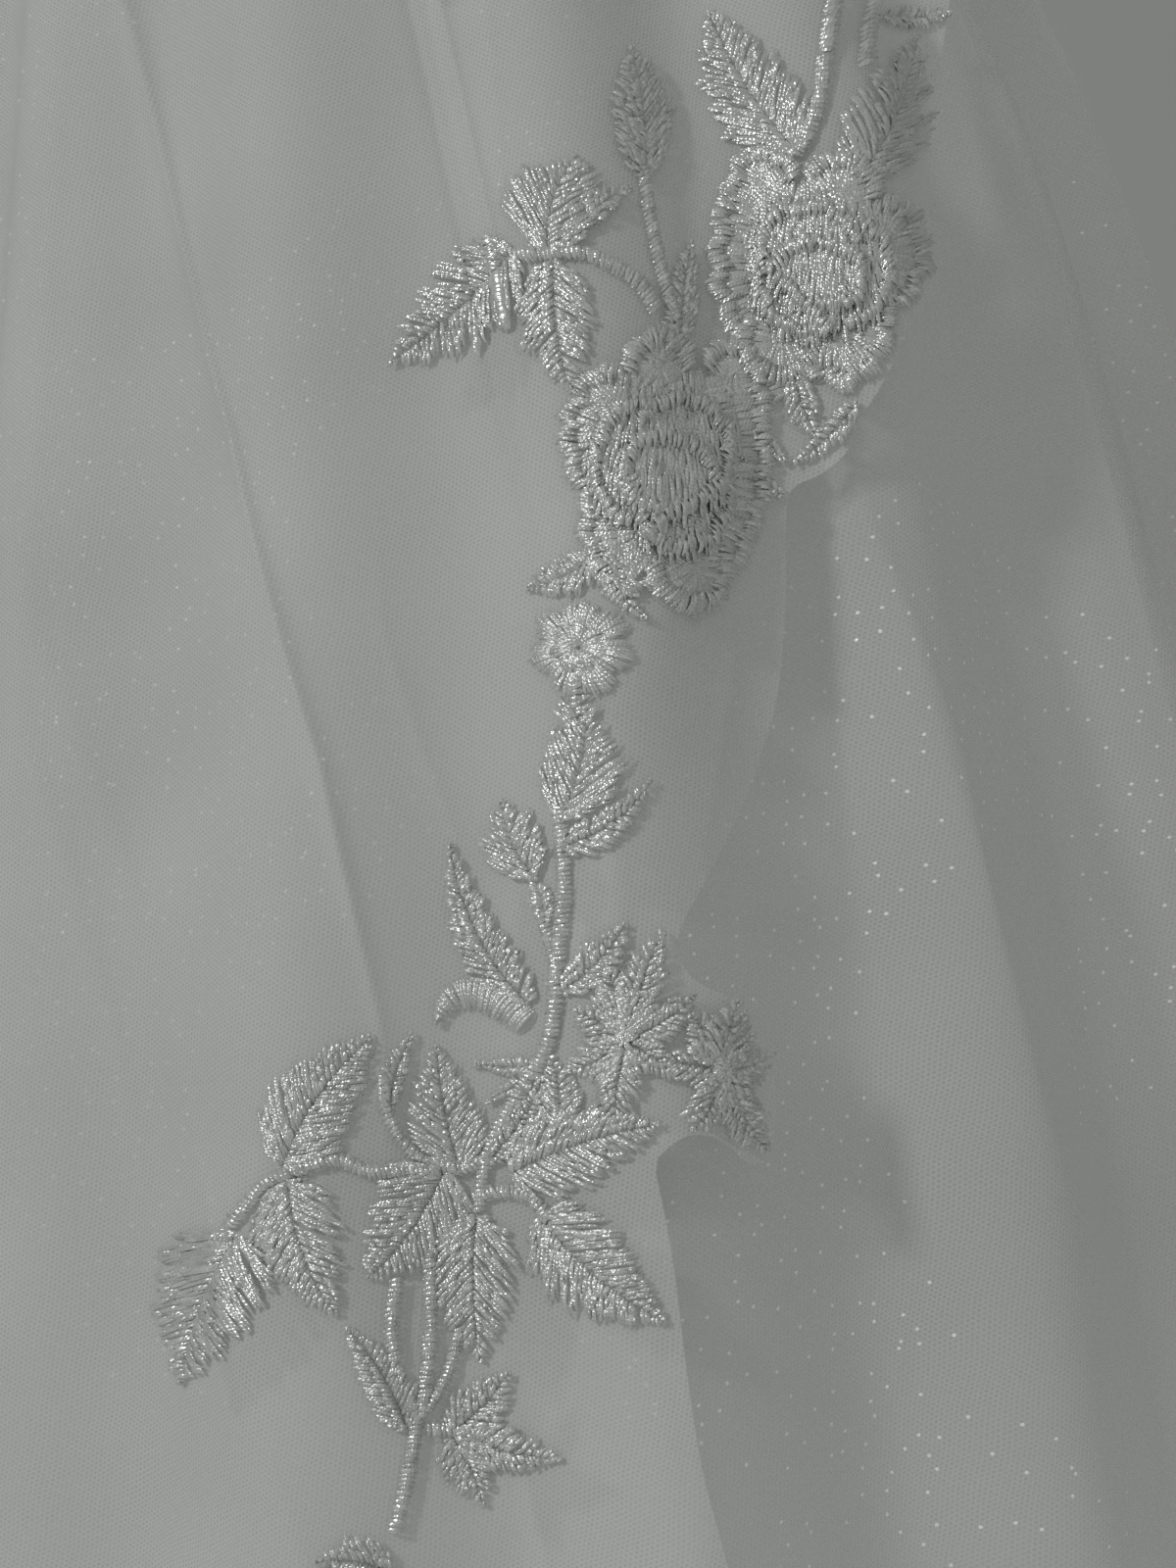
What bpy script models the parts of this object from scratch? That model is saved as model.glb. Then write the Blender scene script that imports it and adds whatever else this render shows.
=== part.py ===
"""Two-tier bridal veil on its hair comb, hanging as it is worn.

Metres, +Z up. The origin is the middle of the comb's spine, where the hair holds it.
The back of the veil, which is the side that shows, faces -Y. The hollow for the wearer's
head and back opens towards +Y and downwards.
"""

import math

import bpy
import numpy as np
from mathutils import Matrix, Vector
from mathutils.geometry import delaunay_2d_cdt

# Comb and heading
COMB_WIDTH = 0.090
COMB_THICK = 0.0020
SPINE_HALF = 0.0025
TOOTH_COUNT = 14
TOOTH_SHARE = 0.42  # of the pitch from tooth to tooth
TOOTH_REACH = 0.042
TOOTH_LEVELS = (0.4, 0.75, 1.0)  # places along a tooth
TOOTH_TAPER = (1.0, 1.0, 0.9, 0.7, 0.35)  # share of the width at the spine's sides and those levels
COMB_BEND_RADIUS = 0.090
HEADING_WIDTH = 0.096
HEADING_DEEP = 0.0080
HEADING_TALL = 0.0080
HEADING_ROUND = 0.0022
SEAM_GAP = 0.0003

# Net: both tiers hang from the heading, the upper one outside the lower one
NET_THICK = 0.0012
TOP_OF_NET = -(HEADING_TALL / 2 + SEAM_GAP)
FOLD_COUNT = 14
FOLD_DRIFT = 0.02  # how unevenly the folds are spaced, as a share of the half-width
FOLD_DRIFT_RATE = 4.1
FOLD_DRIFT_START = 0.7
FOLD_SHARE = 0.72  # the folds' usual depth, as a share of the deepest
FOLD_SHARE_CHANGE = 0.28
FOLD_SHARE_RATE = 5.3
FOLD_SHARE_START = 2.2
LOWER_LENGTH = 1.04
LOWER_SIDE_LENGTH = 0.80
LOWER_ROUNDING = 4.0
UPPER_LENGTH = 0.84
UPPER_SIDE_LENGTH = 0.18
UPPER_ROUNDING = 1.8
UPPER_SPAN = 0.96  # of the lower tier's width
NET_COLUMNS = 4 * FOLD_COUNT
NET_ROWS = 10
ROW_SPREAD = 1.3  # above 1 sets the rows closer together near the comb

# One row for each section of the body of the veil, level by level
# drop: below the heading, back: y of the middle of the back,
# flat: half-width of the flat back, turn: radius of the rounded sides,
# reach: half-width along the cloth, fold: depth of the folds, gap: from tier to tier
SECTION_COLUMNS = ("drop", "back", "flat", "turn", "reach", "fold", "gap")
SECTIONS = (
    (0.000, -0.0048, 0.045, 0.060, 0.045, 0.0009, 0.0026),
    (0.050, -0.034, 0.034, 0.066, 0.105, 0.0026, 0.0070),
    (0.120, -0.052, 0.034, 0.080, 0.162, 0.0040, 0.0090),
    (0.220, -0.068, 0.052, 0.105, 0.225, 0.0060, 0.0095),
    (0.320, -0.088, 0.080, 0.130, 0.290, 0.0075, 0.0100),
    (0.440, -0.111, 0.100, 0.150, 0.345, 0.0090, 0.0100),
    (0.600, -0.134, 0.115, 0.170, 0.400, 0.0105, 0.0100),
    (0.800, -0.156, 0.126, 0.188, 0.440, 0.0125, 0.0100),
    (1.050, -0.178, 0.136, 0.202, 0.475, 0.0150, 0.0100),
)

# Embroidered spray, laid out on squares counted right and down from the top left
# corner of a field of 120 by 160 squares. The veil's trimmed edge passes on its right.
SQUARE = 0.0016
FIELD_MIDDLE = (60.0, 80.0)
EDGE_FROM_MIDDLE = 34.0 * SQUARE
EDGE_LEAN = math.radians(5)
SPRAY_LENGTH = 0.262
SPRAY_CENTRES = (0.196, 0.478, 0.736)  # along the edge from its lowest point
SPRAY_LIFT = 0.0005
SPRAY_THICK = 0.0009
ROSE_RISE = 0.0014
ROSE_RING = 0.5  # radius of the raised ring inside a rose
LEAF_RISE = 0.0003
WHOLE_SPRAY = (0.0, 160.0)  # levels of the field that a spray fills
TOP_SPRAY = (40.0, 124.5)  # the highest spray of each side is shorter
CUT_NEAR = 1e-4  # grid places nearer than this are one
EDGE_PLACES = 400  # places at which the trimmed edge is measured
STEM_WIDTH = 2.2
SMALL_LEAF = 6.0
# Outline of a leaf: share of its length from the base, share of its half-width
LEAF_SHAPE = ((0.0, 0.0), (0.25, 0.9), (0.65, 0.8), (1.0, 0.0), (0.65, -0.8), (0.25, -0.9))
SMALL_LEAF_SHAPE = ((0.0, 0.0), (0.45, 1.0), (1.0, 0.0), (0.45, -1.0))
# base_x, base_y, tip_x, tip_y, width
LEAVES = (
    (81.5, 16.5, 72.5, 1.0, 8.0),
    (87.5, 19.0, 92.5, 4.5, 8.0),
    (65.5, 19.0, 64.0, 5.5, 5.6),
    (53.5, 26.0, 40.5, 36.5, 8.5),
    (56.0, 27.0, 60.5, 17.0, 8.5),
    (56.5, 26.0, 58.5, 40.0, 7.0),
    (63.0, 56.0, 54.5, 60.0, 4.6),
    (57.5, 85.0, 59.5, 72.0, 8.0),
    (57.0, 86.5, 66.0, 79.5, 3.6),
    (57.0, 93.5, 51.5, 82.5, 5.6),
    (57.0, 104.5, 46.5, 86.5, 5.0),
    (57.0, 102.0, 63.5, 94.0, 4.6),
    (55.5, 105.0, 44.5, 103.0, 4.4),
    (50.0, 120.0, 66.5, 114.5, 8.0),
    (48.0, 120.0, 45.0, 107.0, 6.6),
    (29.0, 120.0, 38.0, 106.0, 8.0),
    (24.5, 125.5, 19.0, 141.0, 10.0),
    (31.0, 119.0, 34.5, 134.0, 8.2),
    (47.0, 118.5, 37.5, 130.5, 9.5),
    (49.5, 122.0, 49.0, 138.5, 8.0),
    (55.5, 123.5, 67.0, 134.5, 8.5),
    (42.0, 146.0, 36.0, 136.0, 4.8),
    (42.5, 146.5, 52.0, 140.0, 5.0),
    (42.5, 145.5, 57.0, 149.5, 5.8),
)
# x, y, half_width, half_height, petals, notch
ROUNDS = (
    (83.0, 28.0, 10.8, 12.2, 5, 0.10),
    (67.0, 48.0, 10.0, 14.0, 5, 0.10),
    (59.5, 66.0, 5.4, 5.4, 3, 0.10),
    (63.5, 105.0, 8.8, 9.5, 5, 0.42),
    (73.5, 109.5, 7.0, 8.5, 5, 0.40),
)
ROSE_COUNT = 2  # the first rounds are roses, raised in the middle
# Places along the middle of each stem
STEMS = (
    ((84.0, 1.0), (83.5, 7.0), (81.0, 18.0)),
    ((65.5, 17.5), (69.0, 36.0)),
    ((52.0, 26.5), (61.0, 26.5), (68.0, 37.0)),
    ((72.0, 42.0), (77.0, 34.0)),
    ((62.5, 57.0), (60.0, 64.0)),
    ((59.5, 69.0), (59.8, 75.0)),
    ((58.0, 83.0), (57.0, 102.0), (56.0, 107.0), (49.0, 124.0)),
    ((50.0, 119.0), (31.0, 119.0)),
    ((32.0, 119.0), (23.5, 127.0)),
    ((48.5, 121.0), (57.0, 125.0)),
    ((44.5, 121.0), (42.5, 146.5), (40.6, 155.0)),
    ((49.5, 136.0), (42.5, 146.5)),
)

# Colours seen in soft grey light
NET_WHITE = (0.80, 0.80, 0.78, 1.0)
THREAD_WHITE = (0.86, 0.87, 0.86, 1.0)
RIBBON_WHITE = (0.82, 0.82, 0.80, 1.0)
COMB_CLEAR = (0.74, 0.75, 0.75, 1.0)


def clear_scene():
    for thing in list(bpy.data.objects):
        bpy.data.objects.remove(thing, do_unlink=True)


def make_material(name, colour, roughness):
    material = bpy.data.materials.new(name)
    material.use_nodes = True
    shader = material.node_tree.nodes["Principled BSDF"]
    shader.inputs["Base Color"].default_value = colour
    shader.inputs["Roughness"].default_value = roughness
    shader.inputs["Metallic"].default_value = 0.0
    return material


def section_value(name, drop):
    """A smooth curve through one column of SECTIONS, read at one or more drops."""
    table = np.array(SECTIONS)
    drops = table[:, 0]
    values = table[:, SECTION_COLUMNS.index(name)]
    slopes = np.gradient(values, drops)
    drop = np.clip(drop, drops[0], drops[-1])
    low = np.clip(np.searchsorted(drops, drop) - 1, 0, len(drops) - 2)
    step = drops[low + 1] - drops[low]
    t = (drop - drops[low]) / step
    from_value = (2 * t**3 - 3 * t**2 + 1) * values[low]
    from_slope = (t**3 - 2 * t**2 + t) * step * slopes[low]
    to_value = (3 * t**2 - 2 * t**3) * values[low + 1]
    to_slope = (t**3 - t**2) * step * slopes[low + 1]
    return from_value + from_slope + to_value + to_slope


def fold_wave(across):
    """Ridges above 0 and troughs below it, uneven in place and size; across runs from -1 to 1."""
    drift = FOLD_DRIFT * np.sin(FOLD_DRIFT_RATE * across + FOLD_DRIFT_START)
    size = FOLD_SHARE + FOLD_SHARE_CHANGE * np.sin(FOLD_SHARE_RATE * across + FOLD_SHARE_START)
    return size * np.cos(math.pi * FOLD_COUNT * (across + drift))


def cloth_point(across, drop, out):
    """A point of the hanging cloth, moved out by a distance, away from the wearer."""
    flat = section_value("flat", drop)
    turn = section_value("turn", drop)
    along = np.abs(across) * section_value("reach", drop)
    angle = np.maximum(along - flat, 0) / turn
    x = np.minimum(along, flat) + turn * np.sin(angle)
    y = section_value("back", drop) + turn * (1 - np.cos(angle))
    shift = out + section_value("fold", drop) * fold_wave(across)
    side = np.where(across < 0, -1.0, 1.0)
    x = side * (x + shift * np.sin(angle))
    y = y - shift * np.cos(angle)
    return np.stack([x, y, TOP_OF_NET - drop], axis=-1)


def rim_of(triangles):
    """The directed edges that only one triangle has."""
    edges = {edge for a, b, c in triangles for edge in ((a, b), (b, c), (c, a))}
    return sorted((a, b) for a, b in edges if (b, a) not in edges)


def closed_wall(name, inner, outer, triangles, material):
    """A closed body between two matching sets of points that share their triangles."""
    count = len(inner)
    faces = [(a + count, b + count, c + count) for a, b, c in triangles]
    faces += [(c, b, a) for a, b, c in triangles]
    for a, b in rim_of(triangles):
        faces.append((a, b, b + count))
        faces.append((a, b + count, a + count))
    mesh = bpy.data.meshes.new(name)
    mesh.from_pydata([tuple(p) for p in inner] + [tuple(p) for p in outer], [], faces)
    mesh.materials.append(material)
    mesh.validate()
    thing = bpy.data.objects.new(name, mesh)
    bpy.context.scene.collection.objects.link(thing)
    return thing


class Tier:
    """One layer of net: a grid of columns from the comb to the hem."""

    def __init__(self, length, side_length, rounding, span, columns, rows, on_top):
        self.length = length
        self.side_length = side_length
        self.rounding = rounding
        self.span = span
        self.columns = columns
        self.rows = rows
        self.on_top = on_top

    def hem(self, across):
        """Drop of the cut edge."""
        share = np.abs(across / self.span) ** self.rounding
        return self.length - (self.length - self.side_length) * share

    def base(self, drop):
        return section_value("gap", drop) if self.on_top else 0.0 * drop

    def grid_place(self, across, drop):
        """Column and row, with fractions, of a point of the cloth."""
        column = (across / self.span + 1) / 2 * self.columns
        row = (drop / self.hem(across)) ** (1 / ROW_SPREAD) * self.rows
        return column, row

    def grid(self, out):
        """Points of the whole grid, column after column, moved out by a distance."""
        column = np.arange(self.columns + 1)[:, None] + np.zeros(self.rows + 1)
        row = np.arange(self.rows + 1) + np.zeros(self.columns + 1)[:, None]
        across = (2 * column / self.columns - 1) * self.span
        drop = self.hem(across) * (row / self.rows) ** ROW_SPREAD
        return cloth_point(across, drop, self.base(drop) + out)

    def build(self, name, material):
        triangles = []
        for i in range(self.columns):
            for j in range(self.rows):
                a = i * (self.rows + 1) + j
                b = a + self.rows + 1
                triangles.append((a, b + 1, b))
                triangles.append((a, a + 1, b + 1))
        inner = self.grid(0.0).reshape(-1, 3)
        outer = self.grid(NET_THICK).reshape(-1, 3)
        return closed_wall(name, inner, outer, triangles, material)

    def on_facets(self, column, row, out):
        """Points that follow the flat facets of the wall, moved out by a distance."""
        i = np.clip(np.floor(column).astype(int), 0, self.columns - 1)
        j = np.clip(np.floor(row).astype(int), 0, self.rows - 1)
        f = (column - i)[:, None]
        g = (row - j)[:, None]
        grid = self.grid(out)
        start = grid[i, j]
        far = grid[i + 1, j + 1]
        by_column = start + (grid[i + 1, j] - start) * f + (far - grid[i + 1, j]) * g
        by_row = start + (grid[i, j + 1] - start) * g + (far - grid[i, j + 1]) * f
        return np.where(f >= g, by_column, by_row)


def leaf_outline(base_x, base_y, tip_x, tip_y, width):
    """A leaf widest before its middle: six points, or four on a small one."""
    along = Vector((tip_x - base_x, tip_y - base_y))
    side = Vector((-along.y, along.x)).normalized() * width / 2
    base = Vector((base_x, base_y))
    shape = SMALL_LEAF_SHAPE if width < SMALL_LEAF else LEAF_SHAPE
    return [base + along * share + side * half for share, half in shape]


def round_outline(x, y, half_width, half_height, petals, notch):
    """A flower seen from the front, with a notch between petals."""
    points = []
    for k in range(2 * petals):
        angle = math.pi * k / petals - math.pi / 2
        size = 1.0 if k % 2 == 0 else 1.0 - notch
        point = (x + half_width * size * math.cos(angle), y + half_height * size * math.sin(angle))
        points.append(Vector(point))
    return points


def stem_outline(points):
    """A narrow strip along a line of points."""
    line = [Vector(p) for p in points]
    left, right = [], []
    for k, here in enumerate(line):
        along = (line[min(k + 1, len(line) - 1)] - line[max(k - 1, 0)]).normalized()
        side = Vector((-along.y, along.x)) * STEM_WIDTH / 2
        left.append(here + side)
        right.append(here - side)
    return left + right[::-1]


def spray_outlines(levels):
    """The spray's leaves, flowers and stems between two levels of the field, as outlines."""
    top, bottom = levels
    shapes = [round_outline(*row) for row in ROUNDS if top < row[1] < bottom]
    for row in LEAVES:
        if top < min(row[1], row[3]) and max(row[1], row[3]) < bottom:
            shapes.append(leaf_outline(*row))
    shapes += [stem_outline(line) for line in STEMS if top < line[0][1] and line[-1][1] < bottom]
    return shapes


def edge_places(tier):
    """Places along the trimmed edge of the opened-out cloth, and their distances from its lowest point."""
    across = np.linspace(0, tier.span, EDGE_PLACES)
    drop = tier.hem(across)
    along = across * section_value("reach", drop)
    steps = np.hypot(np.diff(along), np.diff(drop))
    return np.stack([along, drop]), np.concatenate([[0], np.cumsum(steps)])


def spray_placement(tier, number):
    """Where the middle of a spray's field lies on the opened-out cloth, and its turn."""
    edge, distance = edge_places(tier)
    reach = SPRAY_LENGTH / 3
    ends = []
    for step in (-reach, 0.0, reach):
        wanted = SPRAY_CENTRES[number] + step
        ends.append(np.array([np.interp(wanted, distance, values) for values in edge]))
    chord = ends[0] - ends[2]
    turn = math.atan2(-chord[0], chord[1]) - EDGE_LEAN
    middle = ends[1] - EDGE_FROM_MIDDLE * np.array([math.cos(turn), math.sin(turn)])
    return middle, turn


def spray_on_cloth(points, middle, turn, side):
    """Across and drop of points given on the spray's squares."""
    right = (points[:, 0] - FIELD_MIDDLE[0]) * SQUARE
    down = (points[:, 1] - FIELD_MIDDLE[1]) * SQUARE
    along = middle[0] + right * math.cos(turn) - down * math.sin(turn)
    drop = middle[1] + right * math.sin(turn) + down * math.cos(turn)
    return side * along / section_value("reach", drop), drop


def grid_lines(places):
    """The wall's columns and rows that cross a set of places, as line ends."""
    low = np.floor(places.min(axis=0)) - 1
    high = np.ceil(places.max(axis=0)) + 1
    lines = [((c, low[1]), (c, high[1])) for c in np.arange(low[0], high[0] + 1)]
    lines += [((low[0], r), (high[0], r)) for r in np.arange(low[1], high[1] + 1)]
    return lines


def free_points():
    """The middle of each rose and a ring of points round it, which are raised."""
    points = []
    for x, y, half_width, half_height, petals, _ in ROUNDS[:ROSE_COUNT]:
        points.append((x, y))
        for k in range(petals):
            angle = 2 * math.pi * k / petals
            right = ROSE_RING * half_width * math.cos(angle)
            down = ROSE_RING * half_height * math.sin(angle)
            points.append((x + right, y + down))
    return np.array(points)


def joined_rim(outlines):
    """Places and edges of the line round all the outlines together."""
    points, faces = [], []
    for outline in outlines:
        faces.append(list(range(len(points), len(points) + len(outline))))
        points += [Vector(p) for p in outline]
    cut = delaunay_2d_cdt(points, [], faces, 0, CUT_NEAR, True)
    rim = rim_of([f for f, owners in zip(cut[2], cut[5]) if owners])
    used = sorted({v for edge in rim for v in edge})
    number_of = {v: k for k, v in enumerate(used)}
    return [Vector(cut[0][v]) for v in used], [(number_of[a], number_of[b]) for a, b in rim]


def inside(outline, place):
    """Whether a place lies inside an outline."""
    after = np.roll(outline, -1, axis=0)
    crosses = (outline[:, 1] > place[1]) != (after[:, 1] > place[1])
    rise = np.where(crosses, after[:, 1] - outline[:, 1], 1.0)
    x = outline[:, 0] + (place[1] - outline[:, 1]) / rise * (after[:, 0] - outline[:, 0])
    return np.count_nonzero(crosses & (x > place[0])) % 2 == 1


def build_spray(name, tier, number, side, levels, material):
    """One closed body that follows the facets of the tier's outer side."""
    middle, turn = spray_placement(tier, number)

    def on_grid(shape):
        across, drop = spray_on_cloth(np.array(shape), middle, turn, side)
        return np.stack(tier.grid_place(across, drop), axis=-1)

    outlines = []
    for shape in spray_outlines(levels):
        outline = on_grid(shape)
        after = np.roll(outline, -1, axis=0)
        area = np.sum(outline[:, 0] * after[:, 1] - after[:, 0] * outline[:, 1])
        outlines.append(outline if area > 0 else outline[::-1])
    points, edges = joined_rim(outlines)
    for start, end in grid_lines(np.concatenate(outlines)):
        edges.append((len(points), len(points) + 1))
        points += [Vector(start), Vector(end)]
    points += [Vector(p) for p in on_grid(free_points())]
    cut = delaunay_2d_cdt(points, edges, [], 0, CUT_NEAR, True)
    places = np.array([tuple(p) for p in cut[0]])
    kept, heights = [], []
    for face in cut[2]:
        centre = places[face].mean(axis=0)
        owners = [k for k, outline in enumerate(outlines) if inside(outline, centre)]
        if owners:
            kept.append(face)
            heights.append(ROSE_RISE if owners[0] < ROSE_COUNT else LEAF_RISE)
    used = sorted({v for face in kept for v in face})
    number_of = {v: k for k, v in enumerate(used)}
    triangles = [tuple(number_of[v] for v in reversed(face)) for face in kept]
    rise = crown(triangles, heights, len(used))
    column, row = places[used].T
    lower = tier.on_facets(column, row, NET_THICK + SPRAY_LIFT)
    upper = tier.on_facets(column, row, NET_THICK + SPRAY_LIFT + SPRAY_THICK)
    upper = upper + (upper - lower) * (rise / SPRAY_THICK)[:, None]
    return closed_wall(name, lower, upper, triangles, material)


def crown(triangles, heights, count):
    """How far each point is raised: none at the rim, most inside a rose."""
    rim = {v for edge in rim_of(triangles) for v in edge}
    rise = np.zeros(count)
    for triangle, height in zip(triangles, heights):
        for v in triangle:
            if v not in rim:
                rise[v] = max(rise[v], height)
    return rise


def build_comb(material):
    """A curved comb: a spine and its teeth, as cells of one sheet with a thickness."""
    pitch = COMB_WIDTH / (TOOTH_COUNT - 1 + TOOTH_SHARE)
    xs = []
    for tooth in range(TOOTH_COUNT):
        left = -COMB_WIDTH / 2 + tooth * pitch
        xs += [left, left + pitch * TOOTH_SHARE]
    ys = [-SPINE_HALF, SPINE_HALF] + [TOOTH_REACH * share for share in TOOTH_LEVELS]
    places = []
    for k, x in enumerate(xs):
        middle = (xs[k - k % 2] + xs[k - k % 2 + 1]) / 2
        for row, y in enumerate(ys):
            places.append((middle + (x - middle) * TOOTH_TAPER[row], y))
    triangles = []
    for column in range(len(xs) - 1):
        rows = range(len(ys) - 1) if column % 2 == 0 else range(1)
        for row in rows:
            a = column * len(ys) + row
            b = a + len(ys)
            triangles.append((a, b, b + 1))
            triangles.append((a, b + 1, a + 1))
    lower, upper = [], []
    for x, y in places:
        drop = max(y, 0) ** 2 / (2 * COMB_BEND_RADIUS)
        lower.append((x, y, -drop - COMB_THICK / 2))
        upper.append((x, y, -drop + COMB_THICK / 2))
    return closed_wall("comb", lower, upper, triangles, material)


def build_heading(material):
    """The bound strip that holds the gathers of both tiers, stitched behind the comb."""
    middle_y = -SPINE_HALF - SEAM_GAP - HEADING_DEEP / 2
    size = Matrix.Diagonal((HEADING_WIDTH, HEADING_DEEP, HEADING_TALL, 1.0))
    bpy.ops.mesh.primitive_cube_add(size=1.0)
    heading = bpy.context.object
    heading.name = "heading"
    heading.data.name = "heading"
    heading.data.transform(Matrix.Translation((0.0, middle_y, 0.0)) @ size)
    heading.data.materials.append(material)
    bevel = heading.modifiers.new("folded_edges", "BEVEL")
    bevel.width = HEADING_ROUND
    bevel.segments = 2
    return heading


def build_veil():
    clear_scene()
    net = make_material("net", NET_WHITE, 0.75)
    sparkle_net = make_material("sparkle_net", NET_WHITE, 0.65)
    thread = make_material("thread", THREAD_WHITE, 0.40)
    ribbon = make_material("ribbon", RIBBON_WHITE, 0.55)
    comb = make_material("comb", COMB_CLEAR, 0.20)
    build_comb(comb)
    build_heading(ribbon)
    lower = Tier(LOWER_LENGTH, LOWER_SIDE_LENGTH, LOWER_ROUNDING, 1.0, NET_COLUMNS, NET_ROWS, False)
    upper = Tier(UPPER_LENGTH, UPPER_SIDE_LENGTH, UPPER_ROUNDING, UPPER_SPAN, NET_COLUMNS, NET_ROWS, True)
    lower.build("tier_lower", sparkle_net)
    upper.build("tier_upper", net)
    for word, side in (("right", 1), ("left", -1)):
        for number in range(len(SPRAY_CENTRES)):
            levels = TOP_SPRAY if number == len(SPRAY_CENTRES) - 1 else WHOLE_SPRAY
            build_spray(f"spray_{word}_{number + 1}", upper, number, side, levels, thread)


build_veil()
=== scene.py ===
import math

import bpy
import numpy as np
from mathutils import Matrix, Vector
from mathutils.bvhtree import BVHTree


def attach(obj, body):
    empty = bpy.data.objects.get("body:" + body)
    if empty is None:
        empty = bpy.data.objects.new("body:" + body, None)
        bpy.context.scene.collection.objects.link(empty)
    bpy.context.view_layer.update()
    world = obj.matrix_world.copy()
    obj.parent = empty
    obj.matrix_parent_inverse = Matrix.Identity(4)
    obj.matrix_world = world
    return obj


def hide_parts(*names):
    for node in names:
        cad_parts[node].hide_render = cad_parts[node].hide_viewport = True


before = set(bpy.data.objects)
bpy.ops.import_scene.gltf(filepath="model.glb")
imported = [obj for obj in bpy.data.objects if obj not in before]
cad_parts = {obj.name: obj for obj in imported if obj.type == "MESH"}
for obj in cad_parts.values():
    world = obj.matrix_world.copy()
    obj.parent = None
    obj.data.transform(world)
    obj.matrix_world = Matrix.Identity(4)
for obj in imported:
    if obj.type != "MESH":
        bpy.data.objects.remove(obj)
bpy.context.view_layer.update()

# The hanging cloth, from the same sizes as the CAD solids
TOP_OF_NET = -0.0043
NET_THICK = 0.0012
FOLD_COUNT = 14
LOWER_LENGTH = 1.04
LOWER_SIDE_LENGTH = 0.80
LOWER_ROUNDING = 4.0
UPPER_LENGTH = 0.84
UPPER_SIDE_LENGTH = 0.18
UPPER_ROUNDING = 1.8
UPPER_SPAN = 0.96
# drop below the heading, back: y of the middle of the back, flat: half-width of the flat
# back, turn: radius of the rounded sides, reach: half-width along the cloth,
# fold: depth of the folds, gap: from tier to tier
SECTION_COLUMNS = ("drop", "back", "flat", "turn", "reach", "fold", "gap")
SECTIONS = np.array((
    (0.000, -0.0048, 0.045, 0.060, 0.045, 0.0009, 0.0026),
    (0.050, -0.034, 0.034, 0.066, 0.105, 0.0026, 0.0070),
    (0.120, -0.052, 0.034, 0.080, 0.162, 0.0040, 0.0090),
    (0.220, -0.068, 0.052, 0.105, 0.225, 0.0060, 0.0095),
    (0.320, -0.088, 0.080, 0.130, 0.290, 0.0075, 0.0100),
    (0.440, -0.111, 0.100, 0.150, 0.345, 0.0090, 0.0100),
    (0.600, -0.134, 0.115, 0.170, 0.400, 0.0105, 0.0100),
    (0.800, -0.156, 0.126, 0.188, 0.440, 0.0125, 0.0100),
    (1.050, -0.178, 0.136, 0.202, 0.475, 0.0150, 0.0100),
))

# The picture: 1200 by 1600 places, each 0.16 mm on the cloth at its middle
PLACE = 0.00016
PICTURE_MIDDLE = np.array((600.0, 800.0))
CAMERA_DISTANCE = 0.45
CAMERA_AZIMUTH = math.radians(34.0)

# The camera's table: the part of the cloth that is searched (from, to, count), then its places
SEEN_ACROSS = (0.02, 1.0, 260)
SEEN_DROP = (0.22, 0.76, 200)
TABLE_MARGIN = 160.0
TABLE_STEP = 20.0

# Sprays along the upper tier's edge, and the levels of the drawing that each kind takes
EDGE_FROM_MIDDLE = 340.0 * PLACE
EDGE_LEAN = math.radians(5)
SPRAY_LENGTH = 0.262
SPRAY_CENTRES = (0.196, 0.478, 0.736)
WHOLE_SPRAY = (-200.0, 1590.0)
PICTURE_SPRAY = (-200.0, 640.0, 1700.0)
TOP_SPRAY = (400.0, 1245.0)

# The comb, as the solid has it
COMB_WIDTH = 0.090
TOOTH_COUNT = 14
TOOTH_SHARE = 0.42

scene = bpy.context.scene
rng = np.random.default_rng(2275)


# Cloth

def section_value(name, drop):
    """A smooth curve through one column of SECTIONS."""
    drops = SECTIONS[:, 0]
    values = SECTIONS[:, SECTION_COLUMNS.index(name)]
    slopes = np.gradient(values, drops)
    drop = np.clip(drop, drops[0], drops[-1])
    low = np.clip(np.searchsorted(drops, drop) - 1, 0, len(drops) - 2)
    step = drops[low + 1] - drops[low]
    t = (drop - drops[low]) / step
    from_value = (2 * t**3 - 3 * t**2 + 1) * values[low]
    from_slope = (t**3 - 2 * t**2 + t) * step * slopes[low]
    to_value = (3 * t**2 - 2 * t**3) * values[low + 1]
    to_slope = (t**3 - t**2) * step * slopes[low + 1]
    return from_value + from_slope + to_value + to_slope


def fold_wave(across):
    """The main folds, as the solids have them."""
    drift = 0.02 * np.sin(4.1 * across + 0.7)
    size = 0.72 + 0.28 * np.sin(5.3 * across + 2.2)
    return size * np.cos(math.pi * FOLD_COUNT * (across + drift))


def cloth_point(across, drop, out):
    """A point of the hanging cloth, moved out by a distance, away from the wearer."""
    flat = section_value("flat", drop)
    turn = section_value("turn", drop)
    along = np.abs(across) * section_value("reach", drop)
    angle = np.maximum(along - flat, 0) / turn
    x = np.minimum(along, flat) + turn * np.sin(angle)
    y = section_value("back", drop) + turn * (1 - np.cos(angle))
    shift = out + section_value("fold", drop) * fold_wave(across)
    side = np.where(across < 0, -1.0, 1.0)
    x = side * (x + shift * np.sin(angle))
    y = y - shift * np.cos(angle)
    return np.stack([x, y, TOP_OF_NET - drop], axis=-1)


def hem(across, length, side_length, rounding, span):
    return length - (length - side_length) * np.abs(across / span) ** rounding


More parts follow.
